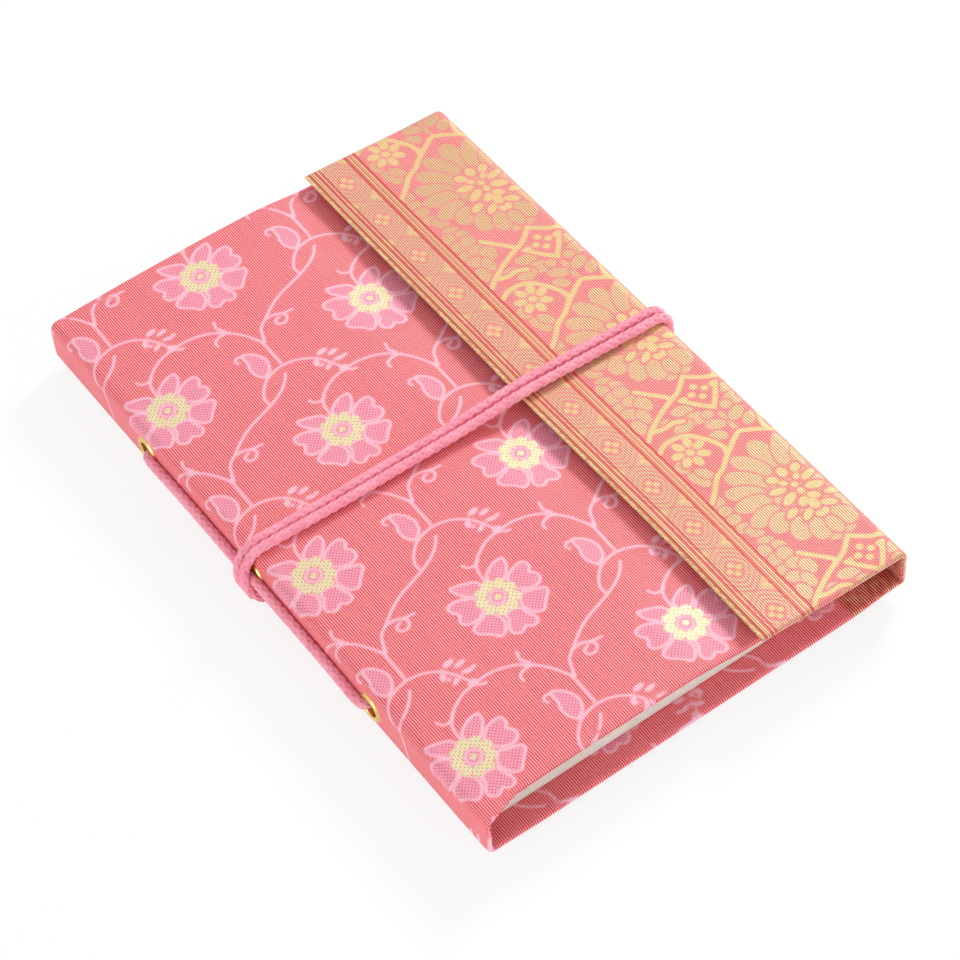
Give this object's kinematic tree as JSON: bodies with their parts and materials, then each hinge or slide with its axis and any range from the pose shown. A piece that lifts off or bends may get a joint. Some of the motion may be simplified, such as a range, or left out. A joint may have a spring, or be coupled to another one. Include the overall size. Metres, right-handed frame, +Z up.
{
  "type": "fabric notebook",
  "caption": "Soft-cover notebook in woven brocade, with a wrap-around flap, eyelets on the spine and a wound cord tie.",
  "frame": {"origin": "centre of the footprint, on the surface that the notebook lies on", "axes": "+X from the spine to the fore-edge, +Y from the tail to the head, +Z up from the back cover to the front cover"},
  "size_m": [0.1284, 0.183, 0.0199],
  "materials": {
    "brocade": "woven silk-like brocade, coral ground with pale pink and gold figures",
    "border": "woven brocade border, gold figures on coral",
    "card": "uncoated board",
    "lining": "plain crimson lining cloth",
    "pages": "uncoated warm white sheets",
    "brass": "polished eyelets",
    "cord": "braided cotton cord"
  },
  "bodies": {
    "back_cover": {"back_fabric": "brocade", "back_card": "card", "back_endpaper": "lining", "section_4": "pages", "section_5": "pages", "section_6": "pages", "tie_back_a": "cord", "tie_back_b": "cord"},
    "spine": {"spine_fabric": "brocade", "spine_card": "card", "spine_lining": "lining", "eyelet_head": "brass", "eyelet_middle": "brass", "eyelet_tail": "brass", "washer_head": "brass", "washer_middle": "brass", "washer_tail": "brass", "cord_spine": "cord"},
    "front_cover": {"front_fabric": "brocade", "front_card": "card", "front_endpaper": "lining"},
    "pages_1": {"section_1": "pages"},
    "pages_2": {"section_2": "pages"},
    "pages_3": {"section_3": "pages"},
    "fore_edge": {"fore_edge_fabric": "border", "fore_edge_card": "card", "fore_edge_lining": "lining", "tie_fore_edge_a": "cord", "tie_fore_edge_b": "cord"},
    "flap": {"flap_fabric": "border", "flap_card": "card", "flap_lining": "lining", "tie_flap_a": "cord", "tie_flap_b": "cord"}
  },
  "joints": [
    {"name": "spine_fold", "type": "hinge", "parent": "back_cover", "child": "spine", "pos_m": [-0.05479, 0, 0.00485], "axis": [0, -1, 0], "range_deg": [0, 88], "deforming": ["spine_fabric", "cord_spine", "flap_fabric", "flap_card", "flap_lining", "tie_flap_a", "tie_flap_b"]},
    {"name": "cover_fold", "type": "hinge", "parent": "spine", "child": "front_cover", "pos_m": [-0.05479, 0, 0.01285], "axis": [0, -1, 0], "range_deg": [0, 88]},
    {"name": "page_turn_1", "type": "hinge", "parent": "back_cover", "child": "pages_1", "pos_m": [-0.05214, 0, 0.0086], "axis": [0, -1, 0], "range_deg": [0, 170]},
    {"name": "page_turn_2", "type": "hinge", "parent": "back_cover", "child": "pages_2", "pos_m": [-0.05214, 0, 0.0086], "axis": [0, -1, 0], "range_deg": [0, 165]},
    {"name": "page_turn_3", "type": "hinge", "parent": "back_cover", "child": "pages_3", "pos_m": [-0.05214, 0, 0.0086], "axis": [0, -1, 0], "range_deg": [0, 160]},
    {"name": "fore_edge_fold", "type": "hinge", "parent": "back_cover", "child": "fore_edge", "pos_m": [0.05921, 0, 0.00485], "axis": [0, 1, 0], "range_deg": [0, 85], "deforming": ["fore_edge_fabric", "tie_fore_edge_a", "tie_fore_edge_b"]},
    {"name": "flap_fold", "type": "hinge", "parent": "fore_edge", "child": "flap", "pos_m": [0.05921, 0, 0.01285], "axis": [0, 1, 0], "range_deg": [0, 85]}
  ],
  "couplings": [
    {"joint": "cover_fold", "follows": "spine_fold", "ratio": 1},
    {"joint": "page_turn_1", "follows": "spine_fold", "ratio": 1.9318},
    {"joint": "page_turn_2", "follows": "spine_fold", "ratio": 1.875},
    {"joint": "page_turn_3", "follows": "spine_fold", "ratio": 1.8182},
    {"joint": "flap_fold", "follows": "fore_edge_fold", "ratio": 1}
  ]
}
